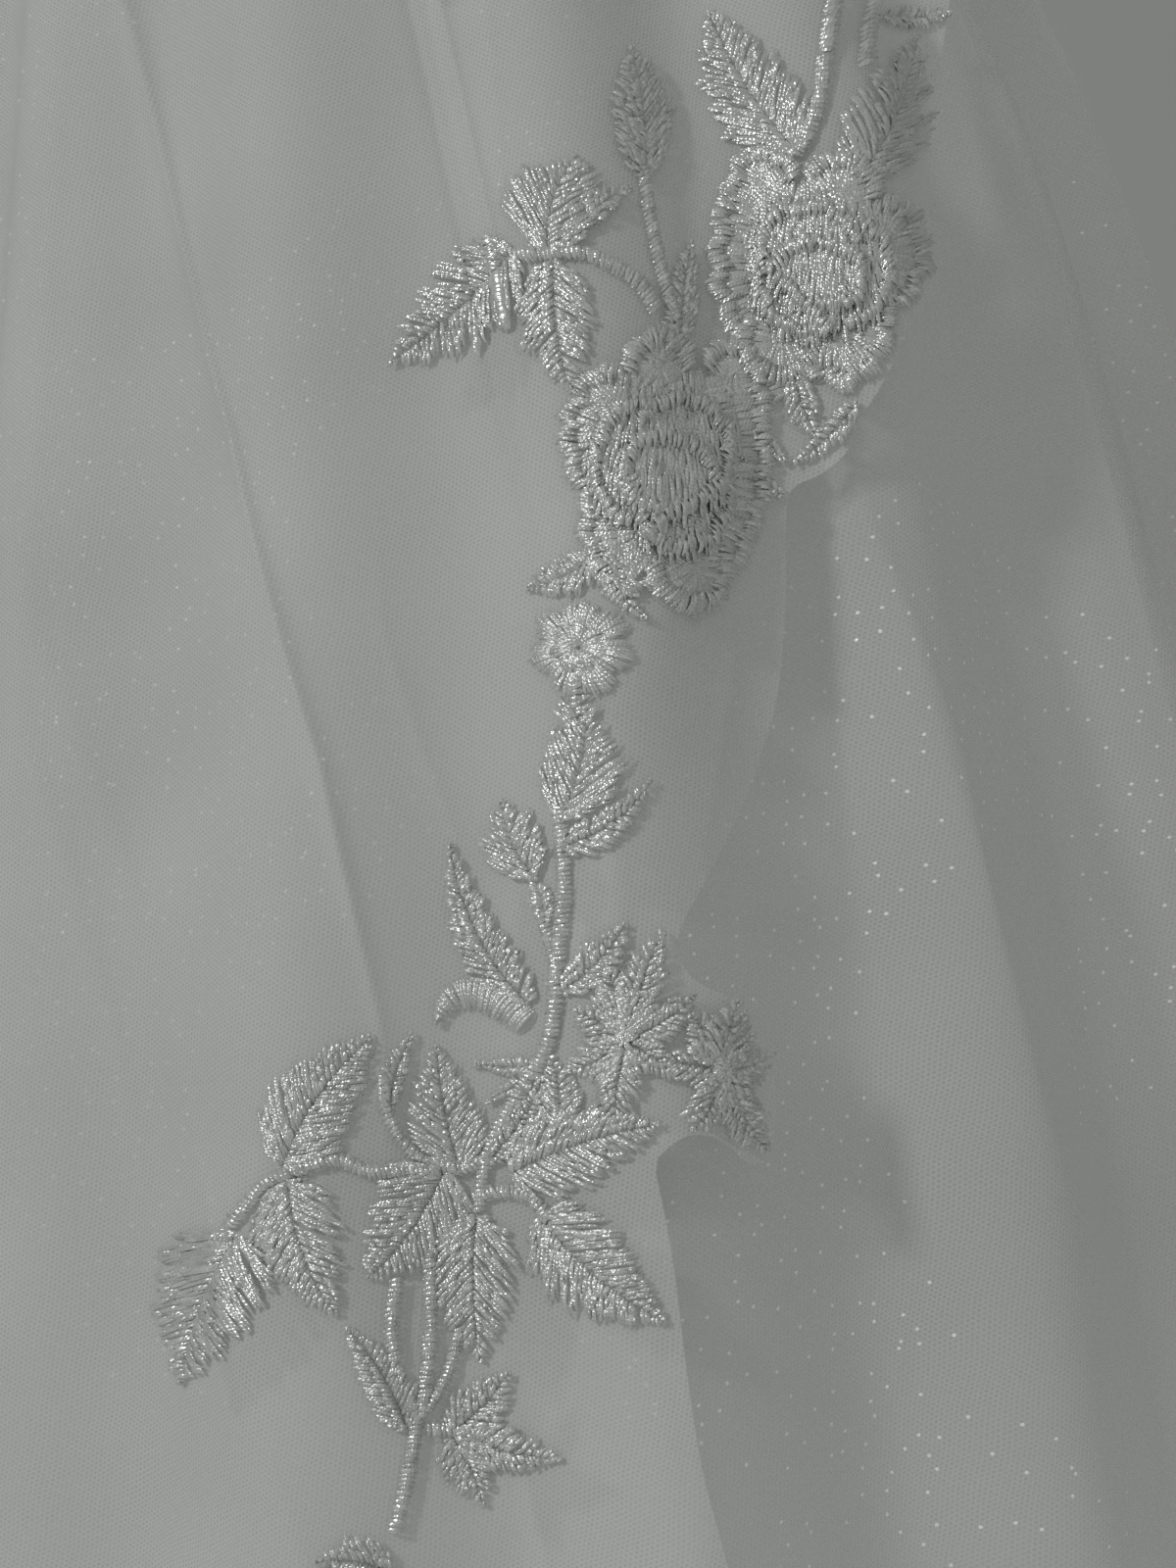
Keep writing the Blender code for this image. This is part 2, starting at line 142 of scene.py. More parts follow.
class Crease:
    """A ridge or trough that runs down the cloth: its place across is given at some drops."""

    def __init__(self, drops, across, height, left, right, start=0.0, end=2.0, fade=0.05):
        order = np.argsort(drops)
        self.drops = np.array(drops)[order]
        self.across = np.array(across)[order]
        self.height = height
        self.left = left
        self.right = right
        self.start = start
        self.end = end
        self.fade = fade

    def shift(self, across, drop):
        distance = (across - np.interp(drop, self.drops, self.across)) * section_value("reach", drop)
        width = np.where(distance < 0, self.left, self.right)
        shape = np.exp(-np.sqrt((distance / width) ** 2 + 0.04) + 0.2)
        fade_in = np.clip((drop - self.start) / self.fade, 0, 1)
        fade_out = np.clip((self.end - drop) / self.fade, 0, 1)
        return self.height * shape * fade_in * fade_out


class Layer:
    """One tier's fine surface: the main folds, smaller uneven folds, gathers and creases."""

    def __init__(self, on_top, seed):
        self.on_top = on_top
        self.creases = []
        own = np.random.default_rng(seed)
        self.rates = own.uniform(14, 46, 9)
        self.starts = own.uniform(0, 2 * math.pi, 9)
        self.leans = own.uniform(-3.0, 3.0, 9)
        self.sizes = own.uniform(0.35, 1.0, 9)
        self.gathers = own.uniform(70, 150, 5)

    def relief(self, across, drop):
        """Small folds over the main ones; they fade where the cloth is gathered."""
        small = 0.0
        for rate, start, lean, size in zip(self.rates, self.starts, self.leans, self.sizes):
            patch = 0.5 + 0.5 * np.sin(3.1 * across + 5.0 * drop * lean + 3.0 * start)
            small = small + size * patch * np.sin(rate * across * 1.7 + lean * drop + start)
        depth = 0.00042 * np.clip(drop / 0.25, 0.15, 1.0)
        total = small * depth
        pinch = sum(np.sin(rate * across + start) for rate, start in zip(self.gathers, self.starts))
        total = total + 0.00022 * pinch * np.exp(-drop / 0.05) * np.clip(drop / 0.006, 0.3, 1.0)
        for crease in self.creases:
            total = total + crease.shift(across, drop)
        return total

    def point(self, across, drop):
        base = section_value("gap", drop) if self.on_top else 0.0
        out = base + NET_THICK / 2 + self.relief(across, drop)
        return cloth_point(across, drop, out)

    def point_and_normal(self, across, drop):
        step = 0.0004
        here = self.point(across, drop)
        beside = self.point(across + step, drop) - here
        below = self.point(across, drop + step) - here
        normal = np.cross(below, beside)
        normal = normal / np.linalg.norm(normal, axis=-1, keepdims=True)
        return here, normal


upper = Layer(True, 11)
lower = Layer(False, 12)


# Where the sprays lie on the opened-out cloth

def upper_hem(across):
    return hem(across, UPPER_LENGTH, UPPER_SIDE_LENGTH, UPPER_ROUNDING, UPPER_SPAN)


def edge_of_upper():
    across = np.linspace(0, UPPER_SPAN, 400)
    drop = upper_hem(across)
    along = across * section_value("reach", drop)
    steps = np.hypot(np.diff(along), np.diff(drop))
    return np.stack([along, drop]), np.concatenate([[0], np.cumsum(steps)])


def spray_placement(number):
    edge, distance = edge_of_upper()
    reach = SPRAY_LENGTH / 3
    ends = []
    for step in (-reach, 0.0, reach):
        wanted = SPRAY_CENTRES[number] + step
        ends.append(np.array([np.interp(wanted, distance, values) for values in edge]))
    chord = ends[0] - ends[2]
    turn = math.atan2(-chord[0], chord[1]) - EDGE_LEAN
    middle = ends[1] - EDGE_FROM_MIDDLE * np.array([math.cos(turn), math.sin(turn)])
    return middle, turn


class FlatPlacing:
    """Places of a spray's drawing on the opened-out cloth."""

    def __init__(self, number, side):
        self.middle, self.turn = spray_placement(number)
        self.side = side

    def cloth(self, places):
        right = (places[..., 0] - PICTURE_MIDDLE[0]) * PLACE
        down = (places[..., 1] - PICTURE_MIDDLE[1]) * PLACE
        along = self.middle[0] + right * math.cos(self.turn) - down * math.sin(self.turn)
        drop = self.middle[1] + right * math.sin(self.turn) + down * math.cos(self.turn)
        return self.side * along / section_value("reach", drop), drop


def grid_quads(columns, rows):
    i, j = np.meshgrid(np.arange(columns - 1), np.arange(rows - 1), indexing="ij")
    a = (i * rows + j).ravel()
    return np.stack([a, a + 1, a + rows + 1, a + rows], axis=1)


class ViewPlacing:
    """Places of the drawing as the camera sees them on the cloth."""

    side = 1

    def __init__(self, anchor, layer):
        self.back = Vector((math.sin(CAMERA_AZIMUTH), -math.cos(CAMERA_AZIMUTH), 0.0))
        self.right = Vector((math.cos(CAMERA_AZIMUTH), math.sin(CAMERA_AZIMUTH), 0.0))
        self.eye = Vector(anchor) + self.back * CAMERA_DISTANCE
        columns = np.linspace(*SEEN_ACROSS)
        rows = np.linspace(*SEEN_DROP)
        across, drop = np.meshgrid(columns, rows, indexing="ij")
        points = layer.point(across, drop).reshape(-1, 3)
        tree = BVHTree.FromPolygons(points.tolist(), grid_quads(len(columns), len(rows)).tolist())
        self.xs, self.ys = (np.arange(-TABLE_MARGIN, 2 * middle + TABLE_MARGIN + 1, TABLE_STEP)
                            for middle in PICTURE_MIDDLE)
        hits = np.full((len(self.xs), len(self.ys), 3), np.nan)
        guess = np.full((len(self.xs), len(self.ys)), np.nan)
        for i, x in enumerate(self.xs):
            for j, y in enumerate(self.ys):
                ray = (-self.back * CAMERA_DISTANCE + self.right * (x - PICTURE_MIDDLE[0]) * PLACE
                       + Vector((0, 0, (PICTURE_MIDDLE[1] - y) * PLACE)))
                hit = tree.ray_cast(self.eye, ray.normalized())
                if hit[0] is not None:
                    hits[i, j] = hit[0]
                    guess[i, j] = columns[hit[2] // (len(rows) - 1)]
        drop = TOP_OF_NET - hits[..., 2]
        nudge = 1e-4
        for _ in range(3):
            here = layer.point(guess, drop)
            step = layer.point(guess + nudge, drop) - here
            guess = guess + nudge * np.sum((hits - here) * step, axis=-1) / np.sum(step * step, axis=-1)
        self.table = np.stack([guess, drop], axis=-1)

    def cloth(self, places):
        fx = (places[..., 0] - self.xs[0]) / TABLE_STEP
        fy = (places[..., 1] - self.ys[0]) / TABLE_STEP
        i = np.clip(np.floor(fx).astype(int), 0, len(self.xs) - 2)
        j = np.clip(np.floor(fy).astype(int), 0, len(self.ys) - 2)
        u = (fx - i)[..., None]
        v = (fy - j)[..., None]
        t = self.table
        value = ((t[i, j] * (1 - u) + t[i + 1, j] * u) * (1 - v)
                 + (t[i, j + 1] * (1 - u) + t[i + 1, j + 1] * u) * v)
        return value[..., 0], value[..., 1]


picture_middle, _ = spray_placement(1)
anchor_across = picture_middle[0] / section_value("reach", picture_middle[1])
anchor = upper.point(np.array(anchor_across), np.array(picture_middle[1]))
view_placing = ViewPlacing(anchor, upper)
placings = {("right", 2): view_placing}
for word, side in (("right", 1), ("left", -1)):
    for number in range(3):
        if (word, number + 1) != ("right", 2):
            placings[(word, number + 1)] = FlatPlacing(number, side)


# Creases of the picture: places of the drawing, height, left and right width in mm, first and last drop

PICTURE_CREASES = (
    ("upper", ((130, 0), (185, 230), (240, 450), (330, 780), (390, 1040)), 1.9, 1.7, 1.2, 0.0, 0.53),
    ("upper", ((0, 470), (60, 700), (150, 950), (215, 1230), (310, 1600)), 1.1, 9.0, 4.5, 0.0, 2.0),
    ("upper", ((415, 0), (470, 240), (545, 560)), -1.0, 1.6, 3.0, 0.0, 0.45),
    ("lower", ((425, 0), (478, 240), (552, 560)), -2.0, 1.4, 2.4, 0.0, 0.45),
    ("upper", ((448, 0), (500, 230), (556, 540)), 1.2, 1.3, 1.3, 0.0, 0.43),
    ("upper", ((495, 0), (520, 300)), 0.5, 1.6, 1.6, 0.0, 0.40),
    ("upper", ((390, 640), (430, 760), (470, 860)), 0.6, 2.0, 1.6, 0.42, 0.50),
    ("upper", ((0, 600), (70, 880), (130, 1100), (210, 1500)), 0.5, 3.0, 2.4, 0.40, 2.0),
    ("upper", ((560, 1600), (530, 1480), (515, 1380)), 0.8, 2.4, 1.8, 0.53, 2.0),
    ("upper", ((900, 0), (780, 300), (640, 700), (600, 1000), (620, 1300), (700, 1600)),
     3.2, 16.0, 14.0, 0.0, 2.0),
    ("upper", ((760, 560), (742, 720), (715, 860)), 0.5, 2.0, 1.4, 0.41, 0.50),
    ("lower", ((840, 340), (870, 430), (950, 650), (1030, 900), (1100, 1150), (1200, 1480)),
     2.6, 12.0, 5.0, 0.0, 2.0),
    ("lower", ((880, 430), (960, 640), (1010, 780)), 0.7, 1.5, 1.1, 0.42, 0.50),
    ("lower", ((1080, 0), (1140, 150), (1210, 330)), 1.6, 6.0, 4.0, 0.0, 2.0),
    ("lower", ((690, 1190), (700, 1400), (730, 1600)), 1.2, 4.0, 2.4, 0.50, 2.0),
)


PICTURED_ACROSS = (0.24, 0.86)


def add_picture_creases():
    for name, line, height, left, right, start, end in PICTURE_CREASES:
        layer = upper if name == "upper" else lower
        across, drop = view_placing.cloth(np.array(line, float))
        layer.creases.append(Crease(drop, across, height * 1e-3, left * 1e-3, right * 1e-3, start, end))


def add_other_creases():
    """Folds of the same kind on the cloth outside the picture."""
    own = np.random.default_rng(31)
    for layer in (upper, lower):
        for place in np.linspace(-0.93, 0.93, 30):
            place = place + own.uniform(-0.025, 0.025)
            if PICTURED_ACROSS[0] < place < PICTURED_ACROSS[1]:
                continue
            bend = own.uniform(-0.03, 0.03)
            start = own.uniform(0.0, 0.3)
            height = own.choice((0.5, 0.8, 1.4, 2.4, -0.6)) * 1e-3
            left = own.uniform(1.2, 9.0) * 1e-3
            right = own.uniform(1.0, 4.0) * 1e-3
            layer.creases.append(Crease((0.0, 0.5, 1.1), (place, place + bend, place - bend / 2),
                                        height, left, right, start, own.uniform(0.6, 1.4), 0.12))


add_picture_creases()
add_other_creases()


# Trimmed edge of the upper tier round a spray, from its lower end to its upper end

TRIM = ((760, 1690), (742, 1600), (716, 1500), (700, 1400), (688, 1300), (676, 1230), (668, 1190),
        (676, 1174), (696, 1160), (718, 1157), (742, 1168), (762, 1186), (782, 1183), (791, 1145),
        (788, 1098), (768, 1052), (744, 1018), (714, 1004), (694, 982), (692, 950), (720, 896),
        (748, 840), (772, 780), (792, 710), (800, 620), (800, 540), (804, 502), (836, 484), (862, 462),
        (874, 430), (896, 396), (926, 332), (946, 260), (948, 140), (960, 20), (968, -60))
TOP_SPRAY_TRIM = slice(12, 24)
# Past the highest spray the net ends a little inside the solid's hem
PAST_SPRAYS = 0.075
HEM_TRIM = (0.004, 0.003)
SIDE_TRIM = 0.985
SIDE_DROPS = (0.19, 0.0, 20)


def smooth_line(points, steps=6):
    """A Catmull-Rom curve through points."""
    points = np.array(points, float)
    before = np.vstack([points[:1], points[:-1]])
    after = np.vstack([points[1:], points[-1:]])
    far = np.vstack([points[2:], points[-1:], points[-1:]])
    t = (np.arange(steps) / steps)[None, :, None]
    a, b, c, d = (p[:, None, :] for p in (before, points, after, far))
    curve = 0.5 * (2 * b + (c - a) * t + (2 * a - 5 * b + 4 * c - d) * t**2 + (3 * b - a - 3 * c + d) * t**3)
    return curve[:-1].reshape(-1, 2)


def trim_polygon():
    """The upper tier's trimmed outline on the opened-out cloth, as along and drop."""
    halves = []
    edge, distance = edge_of_upper()
    for word, side in (("right", 1), ("left", -1)):
        line = [(0.0, UPPER_LENGTH - HEM_TRIM[0])]
        for number in (1, 2, 3):
            drawn = TRIM[TOP_SPRAY_TRIM] if number == 3 else TRIM
            across, drop = placings[(word, number)].cloth(smooth_line(drawn))
            along = np.abs(across) * section_value("reach", drop)
            line += list(zip(along, drop))
        far = distance > SPRAY_CENTRES[2] + PAST_SPRAYS
        line += [(a - HEM_TRIM[0], d - HEM_TRIM[1]) for a, d in edge.T[far][::6]][:-1]
        line += [(SIDE_TRIM * section_value("reach", d), d) for d in np.linspace(*SIDE_DROPS)]
        line += [(0.06, -0.02)]
        halves.append([(side * a, d) for a, d in line])
    return np.array(halves[0] + halves[1][::-1])


def inside_distance(points, polygon):
    """Distance to a polygon's sides, above 0 inside it."""
    start = polygon
    end = np.roll(polygon, -1, axis=0)
    nearest = np.full(len(points), 1e9)
    crossings = np.zeros(len(points), int)
    for (ax, ay), (bx, by) in zip(start, end):
        dx, dy = bx - ax, by - ay
        length = dx * dx + dy * dy
        if length < 1e-16:
            continue
        t = np.clip(((points[:, 0] - ax) * dx + (points[:, 1] - ay) * dy) / length, 0, 1)
        gap = np.hypot(points[:, 0] - ax - t * dx, points[:, 1] - ay - t * dy)
        nearest = np.minimum(nearest, gap)
        spans = (ay > points[:, 1]) != (by > points[:, 1])
        if dy != 0:
            crossings += spans & (points[:, 0] < ax + (points[:, 1] - ay) / dy * dx)
    return np.where(crossings % 2 == 1, nearest, -nearest)


# Meshes

def make_mesh(name, points, faces, uvs, material):
    """An object from arrays of points, faces of equal size and a UV for each point."""
    points = np.asarray(points, np.float32)
    faces = np.asarray(faces, np.int32)
    corners = faces.shape[1]
    mesh = bpy.data.meshes.new(name)
    mesh.vertices.add(len(points))
    mesh.vertices.foreach_set("co", points.ravel())
    mesh.loops.add(faces.size)
    mesh.loops.foreach_set("vertex_index", faces.ravel())
    mesh.polygons.add(len(faces))
    mesh.polygons.foreach_set("loop_start", np.arange(0, faces.size, corners, dtype=np.int32))
    mesh.polygons.foreach_set("use_smooth", np.ones(len(faces), bool))
    layer = mesh.uv_layers.new(name="UVMap")
    layer.data.foreach_set("uv", np.asarray(uvs, np.float32)[faces.ravel()].ravel())
    mesh.update()
    mesh.materials.append(material)
    thing = bpy.data.objects.new(name, mesh)
    scene.collection.objects.link(thing)
    return thing


def spread(low, high, centre, width, extra, count):
    """Places from low to high, closer together near a centre."""
    fine = np.linspace(low, high, 4000)
    weight = 1 + extra * np.exp(-((fine - centre) / width) ** 4)
    total = np.concatenate([[0], np.cumsum((weight[1:] + weight[:-1]) / 2)])
    return np.interp(np.linspace(0, total[-1], count), total, fine)


def grid_triangles(columns, rows):
    quads = grid_quads(columns, rows)
    return np.concatenate([quads[:, [0, 1, 2]], quads[:, [0, 2, 3]]])


def clip_faces(points, uvs, faces, values):
    """Triangles cut off where values fall below 0."""
    keep = values[faces] > 0
    whole = faces[keep.all(axis=1)]
    cut = faces[keep.any(axis=1) & ~keep.all(axis=1)]
    points, uvs = list(points), list(uvs)
    on_edge = {}

    def crossing(a, b):
        key = (min(a, b), max(a, b))
        if key not in on_edge:
            t = values[a] / (values[a] - values[b])
            t = min(max(t, 0.02), 0.98)
            on_edge[key] = len(points)
            points.append(points[a] * (1 - t) + points[b] * t)
            uvs.append(uvs[a] * (1 - t) + uvs[b] * t)
        return on_edge[key]

    added = []
    for face in cut:
        inside = [k for k in range(3) if values[face[k]] > 0]
        if len(inside) == 1:
            a, b, c = np.roll(face, -inside[0])
            added.append((a, crossing(a, b), crossing(a, c)))
        else:
            out = ({0, 1, 2} - set(inside)).pop()
            c, a, b = np.roll(face, -out)
            ca, cb = crossing(a, c), crossing(b, c)
            added.append((a, b, cb))
            added.append((a, cb, ca))
    faces = np.concatenate([whole, np.array(added, int)])
    used = np.unique(faces)
    number = np.full(len(points), -1)
    number[used] = np.arange(len(used))
    return np.array(points)[used], np.array(uvs)[used], number[faces]


def cloth_uv(across, drop):
    return np.stack([across * section_value("reach", drop), -drop], axis=-1)


def build_upper(material):
    across = spread(-UPPER_SPAN, UPPER_SPAN, centre=0.54, width=0.25, extra=6.0, count=410)
    drops = spread(0.0, UPPER_LENGTH, centre=0.47, width=0.16, extra=1.0, count=240)
    a, d = np.meshgrid(across, drops, indexing="ij")
    uvs = cloth_uv(a, d).reshape(-1, 2)
    points = upper.point(a, d).reshape(-1, 3)
    values = inside_distance(uvs * (1, -1), trim_polygon())
    points, uvs, faces = clip_faces(points, uvs, grid_triangles(len(across), len(drops)), values)
    return make_mesh("upper_net", points, faces, uvs, material)


def build_lower(material):
    across = spread(-1.0, 1.0, centre=0.60, width=0.28, extra=5.0, count=380)
    shares = spread(0.0, 1.0, centre=0.46, width=0.16, extra=0.6, count=230)
    length = hem(across, LOWER_LENGTH, LOWER_SIDE_LENGTH, LOWER_ROUNDING, 1.0)
    d = shares[None, :] * length[:, None]
    a = across[:, None] + np.zeros(len(shares))
    uvs = cloth_uv(a, d).reshape(-1, 2)
    points = lower.point(a, d).reshape(-1, 3)
    return make_mesh("lower_net", points, grid_triangles(len(across), len(shares)), uvs, material)


# Embroidery: every stitch is a short strand, given in places of the drawing

STEM_FOOT = 0.8
LEAF_LEVEL = 3.2
FLOWER_LEVEL = 4.0
FLOWER_NOTCH = 0.30
STAR_LEVEL = 5.0
STRAND_POINTS = 3


class Stitches:
    """Rows of start, end, bow, width, foot height at each end, and crown, in places."""

    def __init__(self, spacing):
        self.spacing = spacing
        self.rows = []

    def add(self, start, end, bow, width, foot, other_foot, crown):
        self.rows.append((start[0], start[1], end[0], end[1], bow, width, foot, other_foot, crown))

    def move(self, first, by):
        """Moves all stitches from one on."""
        for k in range(first, len(self.rows)):
            x, y, other_x, other_y, *rest = self.rows[k]
            self.rows[k] = (x + by[0], y + by[1], other_x + by[0], other_y + by[1], *rest)


def turned(vector):
    return np.array((-vector[1], vector[0]))


def curve_at(points, share):
    """A point and direction of a smooth line, at a share of its length."""
    steps = np.diff(points, axis=0)
    lengths = np.hypot(steps[:, 0], steps[:, 1])
    total = np.concatenate([[0], np.cumsum(lengths)])
    where = np.clip(share, 0, 1) * total[-1]
    x = np.interp(where, total, points[:, 0])
    y = np.interp(where, total, points[:, 1])
    k = int(np.clip(np.searchsorted(total, where) - 1, 0, len(steps) - 1))
    return np.array((x, y)), steps[k] / max(lengths[k], 1e-9)


def line_length(points):
    steps = np.diff(points, axis=0)
    return float(np.hypot(steps[:, 0], steps[:, 1]).sum())


def stitch_stem(work, points, width):
    """Short stitches across a line, as a cord has them."""
    line = smooth_line(points)
    pitch = max(work.spacing * 1.3, 4.6)
    count = max(int(line_length(line) / pitch), 3)
    for share in np.linspace(0.0, 1.0, count):
        middle, along = curve_at(line, share)
        side = turned(along)
        half = width / 2 * (0.86 + 0.28 * rng.random())
        lean = along * (2.6 + rng.normal() * 0.8)
        work.add(middle - side * half - lean, middle + side * half + lean, rng.normal() * 0.4,
                 pitch * 1.2, STEM_FOOT, STEM_FOOT, 4.8 + rng.normal() * 0.7)


def leaf_half(share, blunt):
    return np.sin(math.pi * np.clip(share, 0, 1) ** blunt) ** 0.75


def stitch_leaf(work, base, tip, width, bend, teeth, depth, level, slant, blunt):
    """Two rows of slanted stitches from the middle rib to a toothed outline."""
    base, tip = np.array(base, float), np.array(tip, float)
    length = np.hypot(*(tip - base))
    along = (tip - base) / length
    side = turned(along)

    def rib(share):
        return base + along * length * share + side * bend * 4 * share * (1 - share)

    phase = rng.random()
    count = max(int(length * 1.25 / work.spacing), 4)
    for way in (1, -1):
        for k in range(count + 1):
            end_share = min((k + 0.3 * rng.normal()) / count, 1.0)
            smooth_half = width / 2 * leaf_half(end_share, blunt)
            lobe = abs(math.sin(math.pi * (end_share * teeth + phase + 0.25 * way))) ** 0.7
            half = max(smooth_half * (1 + depth * 2.2 * (lobe - 0.65)), 3.0)
            start_share = min(max(end_share - slant * smooth_half / length, 0.0), 0.97)
            start = rib(start_share) - way * side * 0.4
            end = rib(max(end_share, 0.0)) + way * side * half + along * rng.normal() * 2.2
            end = end + (end - start) * rng.normal() * 0.07
            reach = np.hypot(*(end - start))
            pieces = 1 + int(reach > 17) + int(reach > 34)
            cuts = np.linspace(0, 1, pieces + 1)
            cuts[1:-1] += rng.uniform(-0.16, 0.16, pieces - 1)
            for near, far in zip(cuts[:-1], cuts[1:]):
                near_level = level - 2.8 * (1 - min(near / 0.3, 1.0))
                far_level = level - 2.6 * max((far - 0.7) / 0.3, 0.0)
                spill = 0.07 * rng.random()
                near_end = start + (end - start) * max(near - spill, 0.0)
                far_end = start + (end - start) * min(far + spill, 1.0)
                work.add(near_end, far_end, rng.normal() * 0.8, work.spacing * rng.uniform(1.05, 1.45),
                         near_level, far_level, 2.6 + rng.normal() * 0.9)


# A rose's petals, outer ones first: rim line in shares of its half-width and half-height, its root, level
ROSE_PETALS = (
    (((-0.84, 0.56), (-1.00, 0.20), (-1.02, -0.24), (-0.90, -0.66)), (0.0, 0.0), 3.6),
    (((0.70, 0.22), (0.68, 0.62), (0.44, 0.88), (0.16, 0.98), (-0.04, 0.70)), (0.0, 0.0), 3.8),
    (((-0.96, -0.54), (-0.74, -0.94), (-0.42, -1.02), (-0.12, -0.78)), (0.0, 0.0), 4.4),
    (((0.50, -0.62), (0.82, -0.54), (1.02, -0.18), (0.96, 0.10), (0.76, 0.34)), (0.0, 0.0), 4.6),
    (((-0.18, -0.82), (0.10, -0.96), (0.42, -0.88), (0.60, -0.58)), (0.0, 0.0), 5.0),
    (((0.04, 0.76), (-0.26, 0.92), (-0.60, 0.88), (-0.80, 0.70), (-0.78, 0.40)), (0.0, 0.0), 5.0),
    (((-0.58, 0.10), (-0.56, -0.36), (-0.22, -0.54), (0.14, -0.48), (0.38, -0.26)), (0.0, 0.1), 8.0),
    (((0.22, -0.44), (0.56, -0.32), (0.68, 0.06), (0.52, 0.38), (0.22, 0.50)), (0.0, 0.1), 9.0),
    (((-0.66, 0.08), (-0.52, 0.42), (-0.24, 0.56), (0.06, 0.54), (0.22, 0.38)), (0.0, 0.0), 9.6),
    (((-0.46, -0.06), (-0.26, -0.22), (0.04, -0.24), (0.34, -0.14), (0.42, 0.10), (0.28, 0.30)),
     (-0.2, 0.3), 12.4),
    (((-0.52, 0.08), (-0.30, 0.26), (-0.06, 0.42), (0.04, 0.60)), (0.1, 0.1), 13.4),
    (((-0.02, 0.36), (0.24, 0.34), (0.44, 0.20)), (0.1, 0.0), 13.8),
)
OUTER_PETALS = 6


def stitch_rose(work, centre, half_width, half_height, turn, flip=1):
    """Overlapping petals: a near-upright fill, long stitches on the outer ones, a raised rim on each."""
    first = len(work.rows)
    size = np.array((half_width, half_height), float)
    cos, sin = math.cos(math.radians(turn)), math.sin(math.radians(turn))
    spin = np.array(((cos, sin), (-sin, cos)))
    petals = []
    for line, root, level in ROSE_PETALS:
        shape = (np.vstack([line, root]) * (flip, 1)) @ spin * size
        petals.append((smooth_line(shape[:-1]), shape[-1:], level))

    spots = []
    for x in np.arange(-0.72 * half_width, 0.72 * half_width, work.spacing * 0.8):
        y = -0.76 * half_height + 20.0 * rng.random()
        while y < 0.76 * half_height:
            spots.append((x + rng.normal() * 0.6, y))
            y += rng.uniform(15.0, 21.0)
    spots = np.array(spots)
    spots = spots[np.hypot(*(spots / size).T) < 0.74]
    height = np.full(len(spots), 4.0)
    for rim, root, level in petals:
        depth = inside_distance(spots, np.vstack([rim, root]))
        height = np.where(depth > 0, level + 1.0 - 3.4 * np.clip(depth / 42.0, 0, 1), height)
    for spot, level in zip(spots, height):
        way = np.array((0.38 * spot[0] / half_width + rng.normal() * 0.07, 1.0))
        half = way / np.hypot(*way) * rng.uniform(11.0, 16.0)
        work.add(spot - half, spot + half, rng.normal() * 0.6, work.spacing * rng.uniform(1.1, 1.45),
                 level - 3.2, level - 3.2, 2.0 + rng.normal() * 0.6)

    for number, (rim, _, level) in enumerate(petals):
        outer = number < OUTER_PETALS
        length = line_length(rim)
        count = max(int(length / work.spacing * 1.2), 4)
        scallops = max(round(length / 34.0), 1)
        bulk = -rim.mean(axis=0)
        bulk = bulk / np.hypot(*bulk)
        for k in range(count + 1):
            share = (k + rng.normal() * 0.15) / count
            place, along = curve_at(rim, share)
            across = turned(along)
            if np.dot(across, bulk) < 0:
                across = -across
            if not outer:
                across = across * 0.55 + np.array((0.0, 0.45 if across[1] >= 0 else -0.45))
                across = across / np.hypot(*across)
            wave = abs(math.sin(math.pi * scallops * share)) ** 0.6
            edge = place - across * ((wave - 0.5) * (9.0 if outer else 3.5) + rng.normal() * 1.6)
            lean = along * rng.normal() * 1.2
            thick = work.spacing * rng.uniform(1.05, 1.4)
            reach = (20.0 if outer else 15.0) * rng.uniform(0.8, 1.2)
            rise = 0.6 if outer else 1.4
            work.add(edge + across * reach + lean, edge, rng.normal() * 0.6, thick, level - 1.6 + rise,
                     level - 2.4 + rise, (3.8 if outer else 4.4) + rng.normal() * 0.7)
            if not outer:
                continue
            at = 12.0
            while at < 48.0:
                step = rng.uniform(24.0, 34.0)
                near = place + across * at
                far = place + across * (at + step) + along * rng.normal() * 1.6
                work.add(far, near + lean, rng.normal() * 0.7, thick * 1.05, level - 3.4, level - 2.8,
                         1.8 + rng.normal() * 0.5)
                at += step * 0.8
    work.move(first, centre)


def stitch_flower(work, centre, radius, petals, turn):
    """A small open flower of long stitches that run out from its middle, in two rings."""
    centre = np.array(centre, float)
    most = int(2 * math.pi * radius / work.spacing * 1.1)
    rings = ((0.42, 1.0, 3.0, -2.0, most), (0.05, 0.62, 4.0, 0.4, int(most * 0.62)))
    for near, far, rise, lift, count in rings:
        for k in range(count):
            angle = 2 * math.pi * (k + rng.normal() * 0.2) / count
            lobe = abs(math.cos(petals / 2 * (angle - math.radians(turn)))) ** 0.55
            edge = radius * (1 - FLOWER_NOTCH + FLOWER_NOTCH * lobe) * (1 + rng.normal() * 0.04)
            way = np.array((math.cos(angle), math.sin(angle)))
            work.add(centre + way * edge * near, centre + way * edge * far, rng.normal() * 0.8,
                     work.spacing * 1.2, FLOWER_LEVEL + 0.6, FLOWER_LEVEL + lift, rise + rng.normal() * 0.5)


